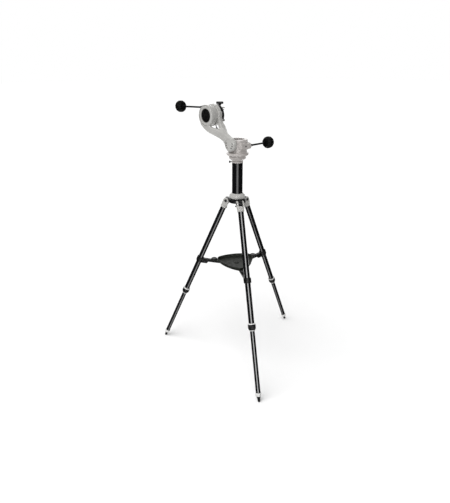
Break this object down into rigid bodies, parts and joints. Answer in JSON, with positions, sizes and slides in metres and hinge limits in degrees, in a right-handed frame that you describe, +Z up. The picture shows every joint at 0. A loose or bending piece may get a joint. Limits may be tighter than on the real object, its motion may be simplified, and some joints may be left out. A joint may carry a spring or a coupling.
{
  "type": "alt azimuth telescope mount",
  "caption": "Manual alt-azimuth telescope mount: leaning fork arm with geared altitude and azimuth axes, control rods and knobs, dovetail saddle, pier and extending tripod with tray.",
  "frame": {"origin": "on the floor, under the azimuth axis, midway between the three feet", "axes": "+Z up along the azimuth axis, +X along the altitude axis towards the dovetail saddle, +Y the way the fork arm leans; one leg points along +X"},
  "size_m": [0.641, 0.7396, 1.2602],
  "materials": {
    "cream_paint": "satin paint over an aluminium casting",
    "white_plastic": "satin moulded",
    "black_anodised": "satin black",
    "leg_black": "gloss black enamel on tube",
    "black_plastic": "satin moulded",
    "black_rubber": "matt",
    "tray_grey": "satin dark grey enamel",
    "dark_steel": "black oxide",
    "bright_steel": "turned",
    "brass": "machined"
  },
  "bodies": {
    "tripod": {"tripod_hub": "black_anodised", "pier_base_collar": "cream_paint", "pier_tube": "black_anodised", "pier_head_adapter": "cream_paint", "azimuth_base": "cream_paint", "azimuth_worm_wheel": "brass", "azimuth_axis_bolt": "dark_steel", "azimuth_axis_nut": "dark_steel", "hinge_pins": "dark_steel", "lock_collets": "white_plastic", "tray_screws": "black_plastic", "accessory_tray": "tray_grey", "clevis_front": "cream_paint", "clevis_right": "cream_paint", "clevis_left": "cream_paint", "upper_leg_tube_front": "leg_black", "upper_leg_tube_right": "leg_black", "upper_leg_tube_left": "leg_black", "tray_bracket_front": "black_plastic", "tray_bracket_right": "black_plastic", "tray_bracket_left": "black_plastic"},
    "hub_screw": {"hub_thumb_screw": "black_plastic"},
    "pier_screw": {"pier_lock_screw": "black_plastic"},
    "azimuth_head": {"azimuth_housing": "cream_paint", "azimuth_bearing_plate": "dark_steel", "arm_pivot_cover": "cream_paint", "azimuth_worm_cover": "cream_paint", "housing_screws": "dark_steel", "azimuth_worm_bush": "black_anodised"},
    "azimuth_control": {"azimuth_worm": "bright_steel", "azimuth_control_rod": "black_anodised", "azimuth_control_knob": "black_plastic"},
    "arm": {"fork_arm": "cream_paint", "altitude_housing": "cream_paint", "altitude_worm_bush": "black_anodised", "altitude_end_cap": "black_plastic"},
    "altitude_control": {"altitude_worm": "bright_steel", "altitude_control_rod": "black_anodised", "altitude_control_knob": "black_plastic"},
    "altitude_lock": {"altitude_lock_screw": "black_plastic"},
    "saddle": {"altitude_shaft": "bright_steel", "altitude_worm_wheel": "brass", "altitude_retaining_ring": "dark_steel", "altitude_disc": "black_anodised", "dovetail_saddle": "cream_paint", "saddle_screws": "dark_steel"},
    "clamp_shoe": {"clamp_shoe": "bright_steel"},
    "clamp_knob": {"clamp_knob": "black_plastic"},
    "lower_leg_front": {"lower_leg_tube_front": "leg_black", "foot_ferrule_front": "white_plastic", "foot_tip_front": "black_rubber"},
    "twist_collar_front": {"twist_collar_front": "black_plastic"},
    "lower_leg_right": {"lower_leg_tube_right": "leg_black", "foot_ferrule_right": "white_plastic", "foot_tip_right": "black_rubber"},
    "twist_collar_right": {"twist_collar_right": "black_plastic"},
    "lower_leg_left": {"lower_leg_tube_left": "leg_black", "foot_ferrule_left": "white_plastic", "foot_tip_left": "black_rubber"},
    "twist_collar_left": {"twist_collar_left": "black_plastic"}
  },
  "joints": [
    {"name": "azimuth_turn", "type": "hinge", "parent": "tripod", "child": "azimuth_head", "pos_m": [0, 0, 1.07], "axis": [0, 0, 1], "continuous": true},
    {"name": "azimuth_worm_turn", "type": "hinge", "parent": "azimuth_head", "child": "azimuth_control", "pos_m": [0, -0.035, 1.084], "axis": [1, 0, 0], "continuous": true},
    {"name": "arm_tilt", "type": "hinge", "parent": "azimuth_head", "child": "arm", "pos_m": [-0.042, 0, 1.093], "axis": [1, 0, 0], "range_deg": [-6, 52]},
    {"name": "altitude_turn", "type": "hinge", "parent": "arm", "child": "saddle", "pos_m": [0, 0.1423, 1.2044], "axis": [1, 0, 0], "continuous": true},
    {"name": "altitude_worm_turn", "type": "hinge", "parent": "arm", "child": "altitude_control", "pos_m": [-0.036, 0.14316, 1.23739], "axis": [0, 0.9997, -0.0262], "continuous": true},
    {"name": "clamp_knob_turn", "type": "hinge", "parent": "clamp_shoe", "child": "clamp_knob", "pos_m": [0.026, 0.1423, 1.2544], "axis": [0, 0, 1], "range_deg": [0, 720]},
    {"name": "clamp_shoe_slide", "type": "slide", "parent": "saddle", "child": "clamp_shoe", "axis": [0, 0, 1], "range_m": [0, 0.0025]},
    {"name": "altitude_lock_turn", "type": "hinge", "parent": "arm", "child": "altitude_lock", "pos_m": [-0.015, 0.11982, 1.14877], "axis": [0, -0.3746, -0.9272], "range_deg": [0, 360]},
    {"name": "pier_lock_turn", "type": "hinge", "parent": "tripod", "child": "pier_screw", "pos_m": [-0.023, 0.023, 1.0127], "axis": [-0.7071, 0.7071, 0], "range_deg": [0, 360]},
    {"name": "hub_screw_turn", "type": "hinge", "parent": "tripod", "child": "hub_screw", "pos_m": [-0.0258, -0.0227, 0.828], "axis": [-0.3368, -0.0594, -0.9397], "range_deg": [0, 360]},
    {"name": "leg_extension_front", "type": "slide", "parent": "tripod", "child": "lower_leg_front", "axis": [-0.202, -0.3499, -0.9148], "range_m": [-0.27, 0.09]},
    {"name": "twist_lock_front", "type": "hinge", "parent": "tripod", "child": "twist_collar_front", "pos_m": [-0.13973, -0.24203, 0.31456], "axis": [-0.202, -0.3499, -0.9148], "range_deg": [0, 90]},
    {"name": "leg_extension_right", "type": "slide", "parent": "tripod", "child": "lower_leg_right", "axis": [0.404, 0, -0.9148], "range_m": [-0.27, 0.09]},
    {"name": "twist_lock_right", "type": "hinge", "parent": "tripod", "child": "twist_collar_right", "pos_m": [0.27947, 0, 0.31456], "axis": [0.404, 0, -0.9148], "range_deg": [0, 90]},
    {"name": "leg_extension_left", "type": "slide", "parent": "tripod", "child": "lower_leg_left", "axis": [-0.202, 0.3499, -0.9148], "range_m": [-0.27, 0.09]},
    {"name": "twist_lock_left", "type": "hinge", "parent": "tripod", "child": "twist_collar_left", "pos_m": [-0.13973, 0.24203, 0.31456], "axis": [-0.202, 0.3499, -0.9148], "range_deg": [0, 90]}
  ],
  "couplings": [
    {"joint": "azimuth_worm_turn", "follows": "azimuth_turn", "ratio": 144},
    {"joint": "altitude_worm_turn", "follows": "altitude_turn", "ratio": 120},
    {"joint": "clamp_knob_turn", "follows": "clamp_shoe_slide", "rad_per_m": 5026.5}
  ]
}
